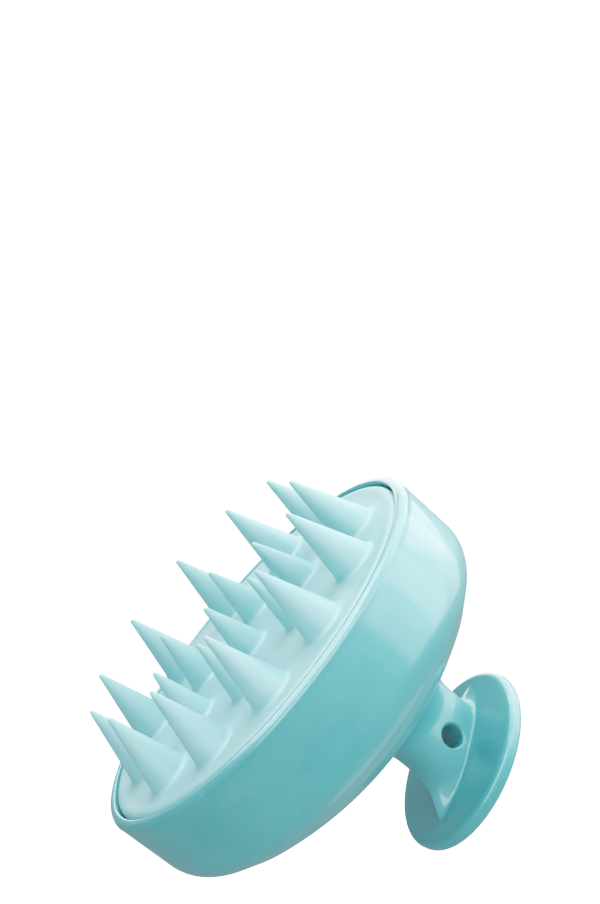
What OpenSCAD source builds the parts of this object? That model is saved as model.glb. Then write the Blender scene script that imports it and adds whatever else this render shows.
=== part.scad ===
// Round scalp massager brush standing on its cones. The hollow shell carries an
// off-centre neck with a hanging hole and a tilted flat knob closed by a cap.
// The soft pad with its nineteen cones is backed by a stiff plate inside the shell.
// Origin: on the ground plane of the outer cone tips, on the axis of the round body.

/* [Body] */
// outside diameter of the round body
body_d = 83.4; // [76:0.2:92]
// height of the body's lower edge above the ground
rim_z = 15.4; // [12:0.1:20]
// wall thickness of the shell
wall = 2.05; // [1.6:0.05:2.6]
// radius of the outer lower edge
edge_r = 1.6; // [0.4:0.1:1.7]
// radius of the inner lower edge
lip_r = 0.35; // [0.2:0.05:0.8]
// draft of the upright band in degrees, narrower towards the shoulder
draft = 2; // [0:0.5:4]
// radius of the rounded shoulder
shoulder_r = 8.5; // [4:0.5:10]
// slope in degrees of the narrow brow between the shoulder and the ridge
brow = 36; // [32:1:42]
// radius of the faint ridge where the dome begins
ridge_r = 34; // [28:0.5:36]
// radius of the shallow dome
dome_r = 70; // [60:1:110]
// height of the dome's crown above the ground
dome_top = 46.8; // [42:0.1:52]

/* [Neck] */
// distance of the neck's centre from the body's axis
neck_x = 10.6; // [4:0.2:14]
// radius of the neck across its wide sides
neck_r = 8.7; // [7:0.1:11]
// half the distance between the neck's two flat sides
neck_half = 5.2; // [4.5:0.1:8]
// height where the neck starts to widen into the dome
neck_foot_z = 52.5; // [49:0.5:56]
// radius of the sweep between the neck and the dome
neck_fillet = 9; // [5:0.5:12]
// radius of the hollow core inside the neck
core_r = 3.6; // [3:0.1:4.2]
// height of the top of the hollow core
core_top = 52; // [48:0.5:54]
// radius of the hanging hole
hole_r = 2.3; // [1.8:0.1:2.8]
// distance of the hanging hole from the body's axis
hole_x = 9.8; // [4:0.1:14]
// height of the hanging hole
hole_z = 57.6; // [56:0.1:59]

/* [Knob] */
// radius of the knob
knob_r = 18.2; // [15:0.1:22]
// total thickness of the knob
knob_t = 3.2; // [2.8:0.1:6]
// thickness of the part of the knob moulded with the neck
flange_t = 1.7; // [1.5:0.1:3]
// tilt of the knob in degrees, high over the body's centre
knob_tilt = 16; // [0:1:20]
// distance of the knob's centre from the body's axis
knob_x = 9.7; // [4:0.1:14]
// height of the knob's centre
knob_z = 63.7; // [60:0.1:70]
// radius of the knob's lower edge
knob_low_r = 1.4; // [0.8:0.1:1.6]
// radius of the knob's upper edge
knob_top_r = 1.2; // [0.6:0.1:1.6]

/* [Knob web] */
// half the width of the leaf-shaped web below the knob
leaf_half = 5.1; // [4:0.1:6]
// distance of the leaf's middle from the body's axis
leaf_x = 11.5; // [8:0.5:15]
// half the length of the leaf between its pointed ends
leaf_len = 15.2; // [12:0.1:18]
// radius of the sweep towards the leaf's long point
sweep_r = 12.5; // [10:0.5:16]
// radius of the sweep at the leaf's short end
short_sweep_r = 3.5; // [2:0.5:5]

/* [Pad] */
// radius of the soft pad
pad_r = 39.3; // [35:0.05:45]
// height of the pad's face above the ground
face_z = 15.6; // [12:0.1:20]
// thickness of the pad
pad_t = 3; // [2:0.1:4]
// radius of the pad's outer edge
pad_edge_r = 1.4; // [0.5:0.1:2]
// turn of the pad against the handle in degrees
pad_turn = -9; // [-15:1:15]
// radius of the circle of outer cone tips
outer_ring_r = 28.5; // [24:0.1:32]
// number of outer cones
outer_count = 12; // [8:1:16]
// radius of the circle of inner cone tips
inner_ring_r = 15.3; // [12:0.1:18]
// number of inner cones
inner_count = 6; // [4:1:8]
// height of the inner cone tips above the ground
inner_tip_z = 3.3; // [0:0.1:6]
// height of the middle cone's tip above the ground
middle_tip_z = 3.5; // [0:0.1:6]
// radius of the rounded cone tips
tip_r = 0.45; // [0.3:0.05:1.5]
// widening of a cone's radius for each millimetre of length
cone_slope = 0.268; // [0.15:0.002:0.35]
// lean of the ringed cones towards the body's axis in degrees
cone_lean = 4.7; // [0:0.1:8]
// radius of the sweep where a cone meets the pad
cone_fillet = 1.1; // [0.5:0.1:2]

/* [Plate] */
// radius of the backing plate
plate_r = 39.2; // [35:0.05:45]
// thickness of the backing plate
plate_t = 2.2; // [1.5:0.1:3]
// height of the skirt on the plate's edge
skirt_h = 3.6; // [2:0.1:6]
// thickness of the skirt
skirt_t = 1.8; // [1.2:0.1:3]
// radius of the bead that snaps the plate into the shell
bead_r = 0.7; // [0.4:0.05:0.9]
// number of stiffening ribs on the plate
rib_count = 6; // [3:1:10]

/* [Hidden] */
body_r = body_d / 2;
in_r = body_r - wall;
dome_c = dome_top - dome_r;
ridge_z = dome_c + sqrt(pow(dome_r, 2) - pow(ridge_r, 2));
// the shoulder's centre keeps its circle tangent to the drafted band and to the brow
draft_t = tan(draft);
reach = body_r + rim_z * draft_t - shoulder_r / cos(draft);
lift = ridge_z * cos(brow) + (ridge_r - reach) * sin(brow) - shoulder_r;
shoulder_z = lift / (cos(brow) - draft_t * sin(brow));
shoulder_x = reach - shoulder_z * draft_t;
back_z = face_z + pad_t;
plate_top = back_z + plate_t;
skirt_top = plate_top + skirt_h;
bead_x = plate_r - 0.15;
bead_z = plate_top + 1.4;
leaf_r = (leaf_len * leaf_len + leaf_half * leaf_half) / (2 * leaf_half);
pin_r = 1.4;
pin_x = 7;
pin_l = 2.6;
gap = 0.1;
fine = 96;

// ---- two-dimensional profiles ----

// half of the dome's section and the brow, down to where the shoulder takes over
module crown_2d(inset) {
  foot_x = shoulder_x + (shoulder_r - inset) * sin(brow);
  foot_z = shoulder_z + (shoulder_r - inset) * cos(brow);
  intersection() {
    translate([0, dome_c])
      circle(r = dome_r - inset, $fn = fine);
    polygon([[0, shoulder_z], [shoulder_x, shoulder_z], [foot_x, foot_z],
             [0, foot_z + foot_x * tan(brow)]]);
  }
}

// half of the body's section, drawn smaller by the inset
module body_2d(inset, low) {
  side = body_r - inset / cos(draft);
  meet = shoulder_z + (shoulder_r - inset) * sin(draft);
  polygon([[0, low], [side - (low - rim_z) * draft_t, low],
           [side - (meet - rim_z) * draft_t, meet], [0, meet]]);
  translate([shoulder_x, shoulder_z])
    circle(r = shoulder_r - inset, $fn = fine);
  crown_2d(inset);
}

// the sharp corner left outside a rounded edge
module corner_2d(r) {
  difference() {
    translate([-0.1, -0.1])
      square([r + 0.1, r + 0.1]);
    translate([r, r])
      circle(r = r, $fn = 48);
  }
}

// half of a column that widens downwards in a hollow sweep, then straight out
module column_2d(r, top) {
  cut = neck_fillet * sqrt(0.5);
  low = neck_foot_z - cut;
  out = r + neck_fillet - cut;
  difference() {
    translate([0, low])
      square([out, top - low]);
    translate([r + neck_fillet, neck_foot_z])
      circle(r = neck_fillet, $fn = fine);
    translate([r, neck_foot_z])
      square([neck_fillet, top - neck_foot_z + 1]);
  }
  polygon([[0, low + 0.01], [out, low + 0.01], [out, low], [out + 5, low - 5],
           [0, low - 5]]);
}

// outline of the leaf-shaped web seen from above
module leaf_2d() {
  intersection() {
    translate([leaf_x, leaf_r - leaf_half])
      circle(r = leaf_r, $fn = fine);
    translate([leaf_x, leaf_half - leaf_r])
      circle(r = leaf_r, $fn = fine);
  }
}

// half of the sweep from the neck towards the leaf's long point
module sweep_2d() {
  difference() {
    translate([0, neck_foot_z + 1])
      square([neck_r + sweep_r * 0.6, 14]);
    translate([neck_r + sweep_r, neck_foot_z + 1.5])
      circle(r = sweep_r, $fn = fine);
  }
}

// side view of the short sweep on the far side of the neck
module short_sweep_2d() {
  right = neck_x + neck_r - 0.4;
  base = knob_z - 8.6;
  difference() {
    translate([neck_x, base])
      square([right - neck_x + short_sweep_r, 8]);
    translate([right + short_sweep_r, base])
      circle(r = short_sweep_r, $fn = 64);
  }
}

// ---- sub-parts ----

// everything below the plane of the knob's underside
module below_knob(d) {
  translate([knob_x, 0, knob_z])
    rotate([0, knob_tilt, 0])
      translate([-60, -60, -120 - knob_t / 2 + d])
        cube([120, 120, 120]);
}

// disc with rounded lower and upper edges, standing on the knob's own axis
module knob_disc(z0, z1, low_r, top_r) {
  rotate_extrude($fn = fine)
    difference() {
      translate([0, z0])
        square([knob_r, z1 - z0]);
      if (low_r > 0)
        translate([knob_r, z0])
          mirror([1, 0])
            corner_2d(low_r);
      if (top_r > 0)
        translate([knob_r, z1])
          mirror([1, 0])
            mirror([0, 1])
              corner_2d(top_r);
    }
}

// places a piece on the knob's tilted axis, underside at zero
module at_knob() {
  translate([knob_x, 0, knob_z])
    rotate([0, knob_tilt, 0])
      translate([0, 0, -knob_t / 2])
        children();
}

module neck_solid() {
  intersection() {
    translate([neck_x, 0, 0])
      rotate_extrude($fn = fine)
        column_2d(neck_r, neck_foot_z + 12);
    translate([neck_x - 40, 0, 0])
      rotate([90, 0, 90])
        linear_extrude(height = 80) {
          column_2d(neck_half, neck_foot_z + 13);
          mirror([1, 0])
            column_2d(neck_half, neck_foot_z + 13);
        }
    below_knob(0.5);
  }
}

module web_solid() {
  intersection() {
    translate([0, 0, neck_foot_z + 1])
      linear_extrude(height = 16)
        leaf_2d();
    union() {
      translate([neck_x, 0, 0])
        rotate_extrude($fn = fine)
          sweep_2d();
      translate([0, 20, 0])
        rotate([90, 0, 0])
          linear_extrude(height = 40)
            short_sweep_2d();
    }
    below_knob(0.5);
  }
}

module shell() {
  color([0.36, 0.68, 0.71])
    difference() {
      union() {
        rotate_extrude($fn = fine)
          difference() {
            body_2d(0, rim_z);
            body_2d(wall, rim_z - 1);
            translate([body_r, rim_z])
              mirror([1, 0])
                corner_2d(edge_r);
            translate([in_r, rim_z])
              corner_2d(lip_r);
          }
        difference() {
          neck_solid();
          rotate_extrude($fn = fine)
            body_2d(wall + 0.02, rim_z - 1);
        }
        web_solid();
        at_knob()
          knob_disc(0, flange_t, knob_low_r, 0);
        stops();
      }
      translate([neck_x, 0, 30])
        cylinder(r = core_r, h = core_top - 30, $fn = 64);
      translate([hole_x, 0, hole_z])
        rotate([90, 0, 0])
          cylinder(r = hole_r, h = 40, center = true, $fn = 64);
      rotate_extrude($fn = fine)
        translate([bead_x, bead_z])
          circle(r = bead_r + 0.15, $fn = 32);
      at_knob() {
        translate([-pin_x, 0, flange_t - pin_l - gap])
          cylinder(r = pin_r + gap, h = pin_l + 2, $fn = 32);
        translate([pin_x, 0, flange_t - pin_l - gap])
          cylinder(r = pin_r + gap, h = pin_l + 2, $fn = 32);
      }
    }
}

// short ribs inside the wall that the plate's skirt is pushed up against
module stops() {
  for (i = [0 : 5])
    rotate([0, 0, i * 60 + 30])
      translate([in_r - 2.2, -1, skirt_top])
        cube([2.7, 2, 7]);
}

module knob_cap() {
  color([0.45, 0.75, 0.78])
    at_knob() {
      knob_disc(flange_t, knob_t, 0, knob_top_r);
      translate([-pin_x, 0, flange_t - pin_l])
        cylinder(r = pin_r, h = pin_l + 0.5, $fn = 32);
      translate([pin_x, 0, flange_t - pin_l])
        cylinder(r = pin_r, h = pin_l + 0.5, $fn = 32);
    }
}

module base_plate() {
  color([0.85, 0.87, 0.86]) {
    translate([0, 0, back_z])
      cylinder(r = plate_r, h = plate_t, $fn = fine);
    translate([0, 0, plate_top - 0.01])
      difference() {
        cylinder(r = plate_r, h = skirt_h + 0.01, $fn = fine);
        translate([0, 0, -1])
          cylinder(r = plate_r - skirt_t, h = skirt_h + 3, $fn = fine);
      }
    rotate_extrude($fn = fine)
      translate([bead_x, bead_z])
        circle(r = bead_r, $fn = 32);
    translate([0, 0, plate_top - 0.01])
      cylinder(r = 6, h = skirt_h - 0.6, $fn = 48);
    for (i = [0 : rib_count - 1])
      rotate([0, 0, i * 360 / rib_count])
        translate([5, -0.8, plate_top - 0.01])
          cube([plate_r - skirt_t - 4.5, 1.6, skirt_h - 0.6]);
  }
}

// one cone pointing down from the pad's face, leaning on its rounded tip
module cone(tip_z, lean) {
  len = face_z - tip_z - tip_r;
  base = tip_r + cone_slope * len;
  out = base + cone_fillet * 0.85;
  translate([0, 0, tip_z + tip_r])
    sphere(r = tip_r, $fn = 32);
  translate([0, 0, tip_z + tip_r])
    rotate([0, lean, 0])
      cylinder(r1 = tip_r, r2 = base + cone_slope, h = len + 1, $fn = 48);
  translate([len * tan(lean), 0, face_z])
    rotate_extrude($fn = 48)
      difference() {
        translate([0, -cone_fillet])
          square([out, cone_fillet + 0.3]);
        translate([out, -cone_fillet])
          circle(r = cone_fillet, $fn = 48);
      }
}

module pad() {
  color([0.66, 0.85, 0.87])
    union() {
      rotate_extrude($fn = fine)
        difference() {
          translate([0, face_z])
            square([pad_r, pad_t]);
          translate([pad_r, face_z])
            mirror([1, 0])
              corner_2d(pad_edge_r);
        }
      for (i = [0 : outer_count - 1])
        rotate([0, 0, (i + 0.5) * 360 / outer_count + pad_turn])
          translate([outer_ring_r, 0, 0])
            cone(0, cone_lean);
      for (i = [0 : inner_count - 1])
        rotate([0, 0, (i + 0.5) * 360 / inner_count + pad_turn])
          translate([inner_ring_r, 0, 0])
            cone(inner_tip_z, cone_lean);
      cone(middle_tip_z, 0);
    }
}

shell();
knob_cap();
base_plate();
pad();
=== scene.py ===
"""Looks of the round scalp massager brush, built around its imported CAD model."""

import math

import bmesh
import bpy
from mathutils import Matrix, Vector


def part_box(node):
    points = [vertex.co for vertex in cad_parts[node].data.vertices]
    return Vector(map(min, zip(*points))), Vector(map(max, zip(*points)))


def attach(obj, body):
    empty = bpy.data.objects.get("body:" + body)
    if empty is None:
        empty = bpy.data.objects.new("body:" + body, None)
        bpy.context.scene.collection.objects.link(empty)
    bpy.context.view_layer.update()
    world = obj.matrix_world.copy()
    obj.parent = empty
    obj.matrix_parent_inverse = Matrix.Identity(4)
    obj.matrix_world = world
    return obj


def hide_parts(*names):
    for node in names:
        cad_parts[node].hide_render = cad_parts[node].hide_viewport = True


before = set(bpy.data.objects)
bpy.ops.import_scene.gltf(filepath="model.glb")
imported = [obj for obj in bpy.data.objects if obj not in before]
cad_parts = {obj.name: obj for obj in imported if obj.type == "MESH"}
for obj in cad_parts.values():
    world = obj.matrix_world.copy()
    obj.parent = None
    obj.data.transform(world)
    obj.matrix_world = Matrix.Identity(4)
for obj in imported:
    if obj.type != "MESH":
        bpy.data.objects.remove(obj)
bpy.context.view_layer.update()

MM = 0.001
AROUND = 288

# ---- sizes read from the frame ----

SHELL_LOW, SHELL_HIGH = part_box("shell")
PAD_LOW, PAD_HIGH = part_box("pad")
CAP_LOW, CAP_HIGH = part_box("knob_cap")
BODY_R = SHELL_HIGH.x
RIM_Z = SHELL_LOW.z
PAD_R = PAD_HIGH.x
PAD_BACK = PAD_HIGH.z
KNOB_R = CAP_HIGH.y

# ---- sizes that the design states ----

WALL = 2.05 * MM
INNER_R = BODY_R - WALL
HOLLOW_HEIGHTS = (30 * MM, 24 * MM, RIM_Z + 2 * MM)
EDGE_R = 1.6 * MM
LIP_R = 0.35 * MM
RIM_LINE_AT = 305
RIM_LINE_DEEP = 0.06 * MM
DRAFT = math.radians(2)
SHOULDER_R = 8.5 * MM
BROW = math.radians(36)
RIDGE_R = 34 * MM
DOME_R = 70 * MM
DOME_TOP = 46.8 * MM
DOME_C = DOME_TOP - DOME_R

NECK = Vector((10.6 * MM, 0, 0))
NECK_R = 8.7 * MM
NECK_HALF = 5.2 * MM
NECK_SQUARE = 2.8
NECK_LOW = 54 * MM
HOLE = Vector((9.8 * MM, 0, 57.6 * MM))
HOLE_R = 2.3 * MM
HOLE_MOUTH = 0.6 * MM

# the sweep between neck and dome is widest towards +X, where each "more" is added in full
FOOT_R = 15 * MM
FOOT_R_MORE = 2.6 * MM
FOOT_REACH = 3.6 * MM
FOOT_REACH_MORE = 1 * MM
FOOT_RISE = 5 * MM
FOOT_RISE_MORE = 1.5 * MM

KNOB = Vector((9.7 * MM, 0, 63.7 * MM))
KNOB_TILT = math.radians(16)
KNOB_T = 3.2 * MM
FLANGE_T = 1.7 * MM
KNOB_LOW_R = 1.4 * MM
KNOB_TOP_R = 1.2 * MM
SEAM = 0.008 * MM
JOINT_R = 0.6 * KNOB_R
CAP_DISH = 0.25 * MM

LEAF_X = 11.5 * MM
LEAF_HALF = 5.1 * MM
LEAF_LONG = 15.2 * MM
LEAF_SHORT = 12.2 * MM
LEAF_LONG_POWER = 2.4
LEAF_SHORT_POWER = 3
WEB_LONG_POWER = 2.3
WEB_SHORT_POWER = 7
CREASE = 0.7 * MM
CREASE_CLEAR = 0.3 * MM

FACE_Z = PAD_BACK - 3 * MM
PAD_EDGE_R = 1.4 * MM
PAD_BORDER = 3.6 * MM
PAD_BORDER_DROP = 0.18 * MM
PAD_BEVEL = 0.2 * MM
PAD_TURN = math.radians(-9)
OUTER_RING = 28.5 * MM
INNER_RING = 15.3 * MM
INNER_TIP = 3.3 * MM
MIDDLE_TIP = 3.5 * MM
TIP_R = 0.45 * MM
CONE_SLOPE = 0.268
CONE_LEAN = math.radians(4.7)
CONE_FILLET = 1.2 * MM


def dome_z(x, y):
    """Height of the dome above a place."""
    return DOME_C + math.sqrt(DOME_R**2 - x * x - y * y)


def shoulder_centre():
    """Centre of the shoulder's circle, tangent to the drafted band and to the brow."""
    slope = math.tan(DRAFT)
    reach = BODY_R + RIM_Z * slope - SHOULDER_R / math.cos(DRAFT)
    lift = dome_z(RIDGE_R, 0) * math.cos(BROW) + (RIDGE_R - reach) * math.sin(BROW) - SHOULDER_R
    height = lift / (math.cos(BROW) - slope * math.sin(BROW))
    return reach - height * slope, height


SHOULDER_X, SHOULDER_Z = shoulder_centre()


# ---- mesh helpers ----


def add_piece(name, mesh, replaces):
    """Links a mesh as a piece of the one rigid body, in place of a CAD node."""
    piece = bpy.data.objects.new(name, mesh)
    bpy.context.scene.collection.objects.link(piece)
    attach(piece, "root")
    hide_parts(replaces)
    return piece


def loft(bm, loops, close_first=False, close_last=False):
    """Skins closed loops of equal length, and closes an end with a fan when asked."""
    rings = [[bm.verts.new(p) for p in loop] for loop in loops]
    count = len(loops[0])
    for low, high in zip(rings, rings[1:]):
        for i in range(count):
            j = (i + 1) % count
            bm.faces.new((low[i], low[j], high[j], high[i]))
    for ring, wanted in ((rings[0], close_first), (rings[-1], close_last)):
        if wanted:
            middle = bm.verts.new(sum((v.co for v in ring), Vector()) / count)
            for i in range(count):
                bm.faces.new((middle, ring[(i + 1) % count], ring[i]))
    return rings


def finish_mesh(bm, name, smooth_angle=40):
    """Turns a bmesh into a smooth-shaded mesh that keeps its hard edges."""
    bmesh.ops.recalc_face_normals(bm, faces=bm.faces)
    limit = math.radians(smooth_angle)
    for face in bm.faces:
        face.smooth = True
    for edge in bm.edges:
        edge.smooth = len(edge.link_faces) == 2 and edge.calc_face_angle() < limit
    mesh = bpy.data.meshes.new(name)
    bm.to_mesh(mesh)
    bm.free()
    return mesh


def arc(centre_r, centre_z, radius, start, stop, steps):
    """Points (radius, height) on a round stretch of a turned outline."""
    angles = [math.radians(start + (stop - start) * i / steps) for i in range(steps + 1)]
    return [(centre_r + radius * math.cos(a), centre_z + radius * math.sin(a)) for a in angles]


def turned_loop(r, z, count=AROUND):
    """A circle about the body's axis."""
    angles = [math.tau * i / count for i in range(count)]
    return [Vector((r * math.cos(a), r * math.sin(a), z)) for a in angles]


def mix(a, b, t):
    """The value that lies a share t of the way from a to b."""
    return a + (b - a) * t


# ---- shell ----


def ray_circle(theta, r):
    """Where a ray from the neck's axis meets a circle about the body's axis."""
    d = Vector((math.cos(theta), math.sin(theta), 0))
    along = NECK.dot(d)
    return NECK + d * (math.sqrt(along**2 - NECK.length_squared + r**2) - along)


def neck_radius(theta):
    """Flattened round section of the neck: a superellipse."""
    wide = abs(math.cos(theta) / NECK_R) ** NECK_SQUARE
    thin = abs(math.sin(theta) / NECK_HALF) ** NECK_SQUARE
    return (wide + thin) ** (-1 / NECK_SQUARE)


def leaf_half(x):
    """Half width of the web's leaf outline at a distance from the body's axis."""
    if x < LEAF_X:
        return LEAF_HALF * (1 - min(1, (LEAF_X - x) / LEAF_LONG) ** LEAF_LONG_POWER)
    return LEAF_HALF * (1 - min(1, (x - LEAF_X) / LEAF_SHORT) ** LEAF_SHORT_POWER)


def leaf_radius(theta):
    """Distance from the neck's axis to the leaf outline, found by halving."""
    near, far = 0, 16 * MM
    for _ in range(40):
        mid = (near + far) / 2
        inside = abs(mid * math.sin(theta)) < leaf_half(NECK.x + mid * math.cos(theta))
        near, far = (mid, far) if inside else (near, mid)
    return near


def knob_point(u, w, height):
    """A point given on the knob's own tilted axes, its underside at zero."""
    turn = Matrix.Rotation(KNOB_TILT, 3, "Y")
    return KNOB + turn @ Vector((u, w, height - KNOB_T / 2))


def underside_z(x):
    """Height of the knob's underside above a place."""
    middle = KNOB.z - KNOB_T / 2 / math.cos(KNOB_TILT)
    return middle - (x - KNOB.x) * math.tan(KNOB_TILT)


def foot_curve(theta, t):
    """Sweep from the dome (t = 0) up into the neck's wall (t = 1)."""
    lean = (1 + math.cos(theta)) / 2
    top_r = neck_radius(theta)
    foot_r = FOOT_R + FOOT_R_MORE * lean
    d = Vector((math.cos(theta), math.sin(theta), 0))
    foot = NECK + d * foot_r
    foot.z = dome_z(foot.x, foot.y)
    reach = FOOT_REACH + FOOT_REACH_MORE * lean
    before = NECK + d * (foot_r - reach)
    slope = (foot.x * d.x + foot.y * d.y) / (foot.z - DOME_C)
    before.z = foot.z + slope * reach
    top = NECK + d * top_r
    top.z = NECK_LOW
    under = top - Vector((0, 0, FOOT_RISE + FOOT_RISE_MORE * lean))
    s = 1 - t
    return foot * s**3 + before * 3 * s * s * t + under * 3 * s * t * t + top * t**3


def web_point(theta, v):
    """Neck wall (v = 0) widening to the leaf outline at the knob's underside (v = 1)."""
    long_side = (1 - math.cos(theta)) / 2
    power = mix(WEB_SHORT_POWER, WEB_LONG_POWER, long_side**2)
    r = mix(neck_radius(theta), leaf_radius(theta), v**power)
    p = NECK + Vector((math.cos(theta), math.sin(theta), 0)) * r
    p.z = mix(NECK_LOW, underside_z(p.x), v)
    return p


def crease_loops(thetas):
    """Small hollow sweep between the web and the knob's underside."""
    flat = KNOB_R - KNOB_LOW_R
    sweeps = []
    for theta in thetas:
        corner = web_point(theta, 1)
        low = web_point(theta, 1 - CREASE / (corner.z - NECK_LOW))
        edge = knob_point(flat * math.cos(theta), flat * math.sin(theta), 0)
        out = corner + (edge - corner).normalized() * CREASE
        sweeps.append((low, corner, out))
    loops = []
    for i in range(5):
        t = i / 4
        s = 1 - t
        loops.append([low * s**2 + corner * 2 * t * s + out * t * t for low, corner, out in sweeps])
    return loops


def shell_loops():
    """All loops of the shell, from its hollow over the rim and dome to the knob."""
    thetas = [math.tau * i / AROUND for i in range(AROUND)]
    outline = [(INNER_R, z) for z in HOLLOW_HEIGHTS]
    outline += arc(INNER_R + LIP_R, RIM_Z + LIP_R, LIP_R, 180, 270, 5)
    edge_x, edge_z = BODY_R - EDGE_R, RIM_Z + EDGE_R
    outline += arc(edge_x, edge_z, EDGE_R, 270, RIM_LINE_AT - 2, 6)
    outline += arc(edge_x, edge_z, EDGE_R - RIM_LINE_DEEP, RIM_LINE_AT - 1, RIM_LINE_AT + 1, 1)
    outline += arc(edge_x, edge_z, EDGE_R, RIM_LINE_AT + 2, 360 + math.degrees(DRAFT), 9)
    low = outline.pop()[1]
    meet = SHOULDER_Z + SHOULDER_R * math.sin(DRAFT)
    for i in range(13):
        z = mix(low, meet, i / 12)
        outline.append((BODY_R - (z - RIM_Z) * math.tan(DRAFT), z))
    tangent = 90 - math.degrees(BROW)
    outline += arc(SHOULDER_X, SHOULDER_Z, SHOULDER_R, math.degrees(DRAFT), tangent, 18)[1:]
    brow_r, brow_z = outline[-1]
    ridge_z = dome_z(RIDGE_R, 0)
    outline += [(mix(brow_r, RIDGE_R, t), mix(brow_z, ridge_z, t)) for t in (0.3, 0.6, 0.9, 0.96)]
    outline += [(RIDGE_R - d, dome_z(RIDGE_R - d, 0)) for d in (0.12 * MM, 0.35 * MM)]
    loops = []
    for r, z in outline:
        loop = [ray_circle(theta, r) for theta in thetas]
        for p in loop:
            p.z = z
        loops.append(loop)
    edge = loops[-1]
    steps = 20
    for i in range(1, steps + 1):
        loop = []
        for theta, start in zip(thetas, edge):
            end = foot_curve(theta, 0)
            p = start.lerp(end, i / steps)
            p.z = dome_z(p.x, p.y)
            loop.append(p)
        loops.append(loop)
    for i in range(1, 25):
        loops.append([foot_curve(theta, i / 24) for theta in thetas])
    crease = crease_loops(thetas)
    for i in range(1, 30):
        loop = [web_point(theta, i / 30) for theta in thetas]
        if loop[0].z < crease[0][0].z - CREASE_CLEAR:
            loops.append(loop)
    loops += crease
    return loops, thetas


def knob_flange_loops(start, thetas):
    """Underside, rounded lower edge and hidden top of the moulded half of the knob."""
    flat = KNOB_R - KNOB_LOW_R
    edge = [knob_point(flat * math.cos(a), flat * math.sin(a), 0) for a in thetas]
    loops = [[p.lerp(q, t) for p, q in zip(start, edge)] for t in (0.15, 0.35, 0.6, 0.85)]
    outline = arc(flat, KNOB_LOW_R, KNOB_LOW_R, 270, 360, 10)
    outline += [(KNOB_R, FLANGE_T - SEAM), (KNOB_R - SEAM, FLANGE_T), (JOINT_R, FLANGE_T)]
    for r, h in outline:
        loops.append([knob_point(r * math.cos(a), r * math.sin(a), h) for a in thetas])
    return loops


def hole_cutter():
    """Spool with flared ends: it leaves the hanging hole with rounded mouths."""
    bm = bmesh.new()
    mouth_r = HOLE_R + HOLE_MOUTH
    outline = [(HOLE_R, 0)]
    outline += arc(mouth_r, NECK_HALF - HOLE_MOUTH, HOLE_MOUTH, 180, 90, 6)
    outline.append((mouth_r + 1 * MM, NECK_HALF + 1 * MM))
    outline = [(r, -y) for r, y in reversed(outline[1:])] + outline
    angles = [math.tau * i / 96 for i in range(96)]
    loops = []
    for r, y in outline:
        loops.append([HOLE + Vector((r * math.cos(a), y, r * math.sin(a))) for a in angles])
    loft(bm, loops, True, True)
    bmesh.ops.recalc_face_normals(bm, faces=bm.faces)
    mesh = bpy.data.meshes.new("hole_cutter")
    bm.to_mesh(mesh)
    bm.free()
    cutter = bpy.data.objects.new("hole_cutter", mesh)
    bpy.context.scene.collection.objects.link(cutter)
    return cutter


def cut_hole(piece):
    """Cuts the hanging hole and applies the result to the piece's mesh."""
    cutter = hole_cutter()
    cut = piece.modifiers.new("hole", "BOOLEAN")
    cut.operation = "DIFFERENCE"
    cut.solver = "EXACT"
    cut.object = cutter
    bpy.context.view_layer.update()
    graph = bpy.context.evaluated_depsgraph_get()
    cut_mesh = bpy.data.meshes.new_from_object(piece.evaluated_get(graph))
    piece.modifiers.remove(cut)
    bpy.data.objects.remove(cutter)
    bm = bmesh.new()
    bm.from_mesh(cut_mesh)
    bmesh.ops.remove_doubles(bm, verts=bm.verts, dist=0.002 * MM)
    piece.data = finish_mesh(bm, "shell_skin", 50)


def build_shell():
    bm = bmesh.new()
    loops, thetas = shell_loops()
    loops += knob_flange_loops(loops[-1], thetas)
    loft(bm, loops, True, True)
    piece = add_piece("shell_skin", finish_mesh(bm, "shell_skin", 50), "shell")
    cut_hole(piece)
    return piece


# ---- knob cap ----


def build_cap():
    outline = [(JOINT_R, FLANGE_T), (KNOB_R - SEAM, FLANGE_T), (KNOB_R, FLANGE_T + SEAM)]
    outline += arc(KNOB_R - KNOB_TOP_R, KNOB_T - KNOB_TOP_R, KNOB_TOP_R, 0, 90, 12)
    flat = KNOB_R - KNOB_TOP_R
    for i in range(1, 12):
        t = i / 12
        outline.append((flat * (1 - t), KNOB_T - CAP_DISH * math.sin(t * math.pi / 2) ** 2))
    bm = bmesh.new()
    angles = [math.tau * i / AROUND for i in range(AROUND)]
    loops = [[knob_point(r * math.cos(a), r * math.sin(a), h) for a in angles] for r, h in outline]
    loft(bm, loops, True, True)
    return add_piece("cap_skin", finish_mesh(bm, "cap_skin"), "knob_cap")


# ---- pad ----


def cone_places():
    """Tip, and outward lean for each unit of height, of every cone."""
    places = [(Vector((0, 0, MIDDLE_TIP)), Vector())]
    for count, ring, tip_z in ((6, INNER_RING, INNER_TIP), (12, OUTER_RING, 0)):
        for i in range(count):
            a = math.tau * (i + 0.5) / count + PAD_TURN
            out = Vector((math.cos(a), math.sin(a), 0))
            places.append((out * ring + Vector((0, 0, tip_z)), out * math.tan(CONE_LEAN)))
    return places


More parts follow.
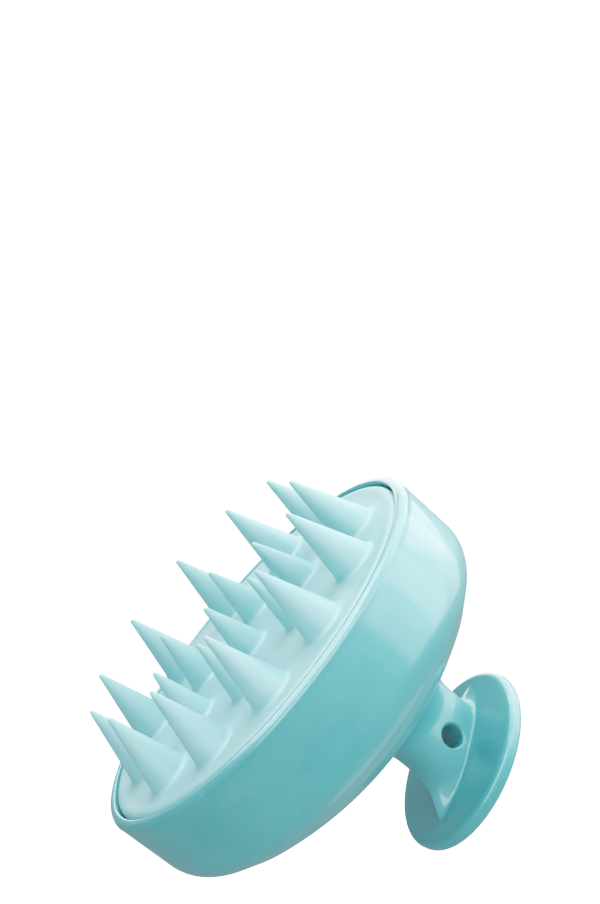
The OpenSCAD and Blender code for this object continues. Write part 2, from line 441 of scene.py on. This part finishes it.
def cone_outline(tip_z):
    """Outline from the pad's face down to the tip, as (radius, height) points."""
    lean = math.atan(CONE_SLOPE)
    length = FACE_Z - tip_z
    base = TIP_R + CONE_SLOPE * (length - TIP_R)
    turn = math.radians(90) - lean
    cut = CONE_FILLET * math.tan(turn / 2)
    centre_r = base + cut
    centre_z = FACE_Z - CONE_FILLET
    points = []
    for i in range(9):
        a = math.radians(90) + turn * i / 8
        points.append((centre_r + CONE_FILLET * math.cos(a), centre_z + CONE_FILLET * math.sin(a)))
    last_r, last_z = points[-1]
    tip_c = tip_z + TIP_R
    start = -lean
    end_r, end_z = TIP_R * math.cos(start), tip_c + TIP_R * math.sin(start)
    for i in range(1, 20):
        points.append((mix(last_r, end_r, i / 20), mix(last_z, end_z, i / 20)))
    for i in range(7):
        a = start - (math.radians(88) + start) * i / 6
        points.append((TIP_R * math.cos(a), tip_c + TIP_R * math.sin(a)))
    return points


def build_pad():
    bm = bmesh.new()
    flat_r = PAD_R - PAD_BORDER
    edge_x = PAD_R - PAD_EDGE_R
    outline = [(flat_r, FACE_Z)]
    for i in range(1, 9):
        t = i / 8
        drop = PAD_BORDER_DROP * math.sin(t * math.pi / 2) ** 2
        outline.append((mix(flat_r, edge_x, t), FACE_Z - drop))
    low = outline[-1][1]
    outline += arc(edge_x, low + PAD_EDGE_R, PAD_EDGE_R, 270, 360, 10)[1:]
    outline += [(PAD_R, PAD_BACK - PAD_BEVEL), (PAD_R - PAD_BEVEL, PAD_BACK)]
    rings = loft(bm, [turned_loop(r, z) for r, z in outline], False, True)
    borders = [rings[0]]
    for tip, lean in cone_places():
        loops = []
        for r, z in cone_outline(tip.z):
            centre = Vector((tip.x, tip.y, 0)) + lean * (z - tip.z)
            loops.append([centre + p for p in turned_loop(r, z, 64)])
        cone_rings = loft(bm, loops, False, True)
        borders.append(cone_rings[0])
    edges = []
    for ring in borders:
        count = len(ring)
        edges += [bm.edges.get((ring[i], ring[(i + 1) % count])) for i in range(count)]
    bmesh.ops.triangle_fill(bm, edges=edges, use_beauty=True, normal=Vector((0, 0, -1)))
    return add_piece("pad_skin", finish_mesh(bm, "pad_skin", 60), "pad")


# ---- materials ----


class Nodes:
    """Short hand for building one material's node tree."""

    def __init__(self, name):
        self.material = bpy.data.materials.new(name)
        self.material.use_nodes = True
        self.tree = self.material.node_tree
        self.shader = self.tree.nodes["Principled BSDF"]
        self.output = self.tree.nodes["Material Output"]

    def add(self, kind, **values):
        """Adds a node; each value goes to the input or the setting of that name."""
        node = self.tree.nodes.new(kind)
        for key, value in values.items():
            if key in node.inputs:
                node.inputs[key].default_value = value
            else:
                setattr(node, key, value)
        return node

    def join(self, source, target):
        self.tree.links.new(source, target)

    def noise(self, scale, detail=4.0, roughness=0.5, stretch=(1, 1, 1)):
        """Noise in the object's own metres, stretched along its axes."""
        where = self.add("ShaderNodeTexCoord")
        place = self.add("ShaderNodeMapping")
        place.inputs["Scale"].default_value = stretch
        noise = self.add("ShaderNodeTexNoise", Scale=scale, Detail=detail, Roughness=roughness)
        self.join(where.outputs["Object"], place.inputs["Vector"])
        self.join(place.outputs["Vector"], noise.inputs["Vector"])
        return noise.outputs["Fac"]

    def ramp(self, source, low, high, start=0.3, stop=0.7):
        """Colour that goes from low to high as the source goes from start to stop."""
        ramp = self.add("ShaderNodeValToRGB")
        ramp.color_ramp.elements[0].position = start
        ramp.color_ramp.elements[0].color = low
        ramp.color_ramp.elements[1].position = stop
        ramp.color_ramp.elements[1].color = high
        self.join(source, ramp.inputs["Fac"])
        return ramp.outputs["Color"]

    def spread(self, source, low, high):
        """Stretches a noise's usual range over low to high."""
        span = self.add("ShaderNodeMapRange")
        span.inputs["From Min"].default_value = 0.3
        span.inputs["From Max"].default_value = 0.7
        span.inputs["To Min"].default_value = low
        span.inputs["To Max"].default_value = high
        self.join(source, span.inputs["Value"])
        return span.outputs["Result"]

    def blend(self, factor, first, second):
        """Mixes a colour source with a fixed colour; the node's colour sockets are 6, 7 and 2."""
        mixer = self.add("ShaderNodeMix", data_type="RGBA")
        self.join(factor, mixer.inputs[0])
        self.join(first, mixer.inputs[6])
        mixer.inputs[7].default_value = second
        return mixer.outputs[2]

    def bump(self, source, strength, distance, under=None):
        bump = self.add("ShaderNodeBump", Strength=strength, Distance=distance)
        self.join(source, bump.inputs["Height"])
        if under:
            self.join(under, bump.inputs["Normal"])
        return bump.outputs["Normal"]


def srgb(r, g, b):
    """Linear colour of an 8-bit screen colour."""
    def linear(c):
        c = c / 255
        return c / 12.92 if c <= 0.04045 else ((c + 0.055) / 1.055) ** 2.4
    return (linear(r), linear(g), linear(b), 1)


DEEP_TEAL = srgb(80, 168, 175)
PALE_TEAL = srgb(91, 176, 182)
WORN_TEAL = srgb(168, 212, 217)


def gloss_plastic(name):
    """Moulded gloss ABS: faint flow marks, hairline scratches and a soft orange peel."""
    n = Nodes(name)
    flow = n.noise(60, 3, 0.5, (1, 1, 2.2))
    teal = n.ramp(flow, DEEP_TEAL, PALE_TEAL, 0.3, 0.72)
    scratches = n.noise(2600, 3, 0.6, (1, 1, 0.08))
    thin = n.ramp(scratches, (0, 0, 0, 1), (0.35, 0.35, 0.35, 1), 0.64, 0.74)
    n.join(n.blend(thin, teal, WORN_TEAL), n.shader.inputs["Base Color"])
    scuff = n.noise(900, 3, 0.65, (1, 1, 0.3))
    n.join(n.spread(scuff, 0.35, 0.45), n.shader.inputs["Roughness"])
    peel = n.noise(260, 2, 0.4)
    grain = n.noise(5200, 2, 0.5)
    soft = n.bump(peel, 0.02, 0.2 * MM)
    n.join(n.bump(grain, 0.012, 0.02 * MM, soft), n.shader.inputs["Normal"])
    n.shader.inputs["IOR"].default_value = 1.47
    n.shader.inputs["Coat Weight"].default_value = 0.5
    n.shader.inputs["Coat Roughness"].default_value = 0.06
    return n.material


def soft_silicone(name):
    """Milky silicone: light scatters in it, and its skin is satin with fine dust."""
    n = Nodes(name)
    cloud = n.noise(90, 4, 0.5)
    n.join(n.ramp(cloud, srgb(146, 207, 213), srgb(157, 212, 217)), n.shader.inputs["Base Color"])
    skin = n.noise(1400, 4, 0.6)
    n.join(n.spread(skin, 0.44, 0.54), n.shader.inputs["Roughness"])
    grain = n.noise(4200, 3, 0.6)
    waves = n.noise(180, 2, 0.5)
    soft = n.bump(waves, 0.08, 0.15 * MM)
    n.join(n.bump(grain, 0.08, 0.03 * MM, soft), n.shader.inputs["Normal"])
    n.shader.inputs["IOR"].default_value = 1.45
    n.shader.inputs["Subsurface Weight"].default_value = 0.35
    n.shader.inputs["Subsurface Radius"].default_value = (0.8, 1.0, 1.0)
    n.shader.inputs["Subsurface Scale"].default_value = 1.2 * MM
    return n.material


def matte_plastic(name):
    """Plain inner plate: fine spark-eroded grain."""
    n = Nodes(name)
    cloud = n.noise(120, 3)
    n.join(n.ramp(cloud, srgb(205, 211, 209), srgb(222, 226, 224)), n.shader.inputs["Base Color"])
    grain = n.noise(3000, 3, 0.6)
    n.join(n.spread(grain, 0.45, 0.6), n.shader.inputs["Roughness"])
    n.join(n.bump(grain, 0.2, 0.05 * MM), n.shader.inputs["Normal"])
    return n.material


def set_material(piece, material):
    piece.data.materials.clear()
    piece.data.materials.append(material)


# ---- stage ----

MIDDLE = Vector((0, 0, 30 * MM))
FLOOR_R = 0.45
FLOOR_PLAIN_R = 0.1
BRIGHT_SIDE = (0.7, 0.6, -0.35)


def floor_material():
    """Pale floor with a soft contact shadow: clear from below, and further out all round."""
    n = Nodes("floor_pale")
    near = n.add("ShaderNodeAmbientOcclusion", Distance=60 * MM, samples=16)
    shade = n.ramp(near.outputs["AO"], (0.45, 0.47, 0.48, 1), (1, 1, 1, 1), 0, 1)
    glow = n.add("ShaderNodeEmission", Strength=1.25)
    n.join(shade, glow.inputs["Color"])
    where = n.add("ShaderNodeTexCoord")
    far = n.add("ShaderNodeVectorMath", operation="LENGTH")
    n.join(where.outputs["Object"], far.inputs[0])
    fade = n.add("ShaderNodeMapRange", interpolation_type="SMOOTHSTEP")
    fade.inputs["From Min"].default_value = FLOOR_PLAIN_R
    fade.inputs["From Max"].default_value = FLOOR_R
    n.join(far.outputs["Value"], fade.inputs["Value"])
    side = n.add("ShaderNodeNewGeometry")
    hidden = n.add("ShaderNodeMath", operation="MAXIMUM")
    n.join(fade.outputs["Result"], hidden.inputs[0])
    n.join(side.outputs["Backfacing"], hidden.inputs[1])
    clear = n.add("ShaderNodeBsdfTransparent")
    blend = n.add("ShaderNodeMixShader")
    n.join(hidden.outputs["Value"], blend.inputs["Fac"])
    n.join(glow.outputs["Emission"], blend.inputs[1])
    n.join(clear.outputs["BSDF"], blend.inputs[2])
    n.join(blend.outputs["Shader"], n.output.inputs["Surface"])
    n.tree.nodes.remove(n.shader)
    return n.material


def build_floor():
    """Disc on the ground plane that only the camera sees."""
    bm = bmesh.new()
    bm.faces.new([bm.verts.new(p) for p in turned_loop(FLOOR_R, 0, 96)])
    mesh = bpy.data.meshes.new("floor")
    bm.to_mesh(mesh)
    bm.free()
    floor = bpy.data.objects.new("floor", mesh)
    bpy.context.scene.collection.objects.link(floor)
    set_material(floor, floor_material())
    floor.visible_shadow = False
    floor.visible_diffuse = False
    floor.visible_glossy = False


def add_light(name, toward, distance, size, radiance, diffuse=True, gloss=True):
    """A soft rectangular light that faces the brush from the given direction."""
    light = bpy.data.lights.new(name, "AREA")
    light.shape = "RECTANGLE"
    light.size, light.size_y = size
    light.energy = radiance * math.pi * size[0] * size[1]
    lamp = bpy.data.objects.new(name, light)
    bpy.context.scene.collection.objects.link(lamp)
    toward = Vector(toward).normalized()
    lamp.location = MIDDLE + toward * distance
    lamp.rotation_euler = toward.to_track_quat("Z", "Y").to_euler()
    lamp.visible_camera = False
    lamp.visible_diffuse = diffuse
    lamp.visible_glossy = gloss


def from_azimuth(azimuth, height):
    """Direction at an azimuth and a height above the horizon, in degrees."""
    a, e = math.radians(azimuth), math.radians(height)
    return Vector((math.cos(a) * math.cos(e), math.sin(a) * math.cos(e), math.sin(e)))


def build_world():
    """White background for the camera; as a light source it is brighter on one side."""
    world = bpy.data.worlds.new("studio")
    bpy.context.scene.world = world
    world.use_nodes = True
    tree = world.node_tree
    back = tree.nodes["Background"]
    back.inputs["Color"].default_value = (1, 1, 1, 1)
    back.inputs["Strength"].default_value = 2.5
    dim = tree.nodes.new("ShaderNodeBackground")
    dim.inputs["Color"].default_value = (0.97, 0.99, 1.0, 1)
    where = tree.nodes.new("ShaderNodeTexCoord")
    side = tree.nodes.new("ShaderNodeVectorMath")
    side.operation = "DOT_PRODUCT"
    side.inputs[1].default_value = BRIGHT_SIDE
    span = tree.nodes.new("ShaderNodeMapRange")
    span.inputs["From Min"].default_value = -0.3
    span.inputs["From Max"].default_value = 0.8
    span.inputs["To Min"].default_value = 0.35
    span.inputs["To Max"].default_value = 1.3
    tree.links.new(where.outputs["Generated"], side.inputs[0])
    tree.links.new(side.outputs["Value"], span.inputs["Value"])
    tree.links.new(span.outputs["Result"], dim.inputs["Strength"])
    path = tree.nodes.new("ShaderNodeLightPath")
    blend = tree.nodes.new("ShaderNodeMixShader")
    tree.links.new(path.outputs["Is Camera Ray"], blend.inputs["Fac"])
    tree.links.new(dim.outputs["Background"], blend.inputs[1])
    tree.links.new(back.outputs["Background"], blend.inputs[2])
    tree.links.new(blend.outputs["Shader"], tree.nodes["World Output"].inputs["Surface"])


# The camera looks up at the brush's face from a little below its ground plane.
EYE = Vector((-0.2192, 0.4088, -0.1092))
LOOK = Vector((0.5217, -0.8225, 0.2265)).normalized()
IMAGE_RIGHT = Vector((0.4504, 0.4910, 0.7457)).normalized()
LENS = 101.6


def build_camera():
    data = bpy.data.cameras.new("camera")
    data.lens = LENS
    data.sensor_width = 36
    data.clip_start = 0.01
    camera = bpy.data.objects.new("camera", data)
    bpy.context.scene.collection.objects.link(camera)
    image_up = IMAGE_RIGHT.cross(LOOK)
    turn = Matrix((IMAGE_RIGHT, image_up, -LOOK)).transposed()
    camera.matrix_world = Matrix.Translation(EYE) @ turn.to_4x4()
    bpy.context.scene.camera = camera
    return image_up


def build_lights(image_up):
    """Soft boxes round the picture's own axes; those named gloss show only as reflections."""
    add_light("overhead", image_up, 0.6, (0.6, 0.6), 2.0)
    above_behind = image_up + 0.3 * IMAGE_RIGHT + 0.5 * LOOK
    add_light("overhead_gloss", above_behind, 0.7, (0.9, 0.9), 3.6, False)
    add_light("below_gloss", (0.15, 0.1, -1), 0.5, (0.62, 0.62), 11, False)
    add_light("front_strip_gloss", from_azimuth(112, -26), 0.6, (1.0, 0.16), 9, False)
    add_light("backdrop_gloss", from_azimuth(-48, -5), 0.7, (0.42, 0.36), 3.6, False)
    add_light("side", from_azimuth(50, 5), 0.6, (0.42, 0.6), 1.3)
    add_light("side_gloss", from_azimuth(18, 14), 0.62, (0.6, 0.6), 2.8, False)
    add_light("side_soft_gloss", from_azimuth(48, 5), 0.6, (0.55, 0.75), 2.6, False)
    add_light("side_edge_gloss", from_azimuth(68, -4), 0.6, (0.3, 0.5), 1.6, False)
    add_light("fill", -LOOK, 0.6, (0.6, 0.6), 1.1, True, False)
    add_light("left_fill", from_azimuth(178, 4), 0.6, (0.6, 0.6), 1.0, True, False)
    add_light("top", (0.2, -0.3, 0.9), 0.8, (1.2, 1.2), 1.0, True, False)
    add_light("top_gloss", from_azimuth(-57, 72), 0.8, (0.4, 0.4), 0.7, False)


def soften_highlights():
    """Film-like shoulder: dark and middle tones stay, bright ones ease towards white."""
    view = bpy.context.scene.view_settings
    view.view_transform = "Standard"
    view.use_curve_mapping = True
    curves = view.curve_mapping
    curves.white_level = (2, 2, 2)
    points = curves.curves[3].points
    for place, value in ((0.1, 0.2), (0.2, 0.395), (0.3, 0.54), (0.4, 0.65), (0.6, 0.81)):
        points.new(place, value)
    curves.update()


# ---- put together ----

shell = build_shell()
cap = build_cap()
pad = build_pad()
set_material(shell, gloss_plastic("shell_gloss_teal"))
set_material(cap, gloss_plastic("cap_gloss_teal"))
set_material(pad, soft_silicone("pad_silicone"))
set_material(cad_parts["base_plate"], matte_plastic("plate_matte_white"))
build_floor()
build_world()
build_lights(build_camera())
soften_highlights()
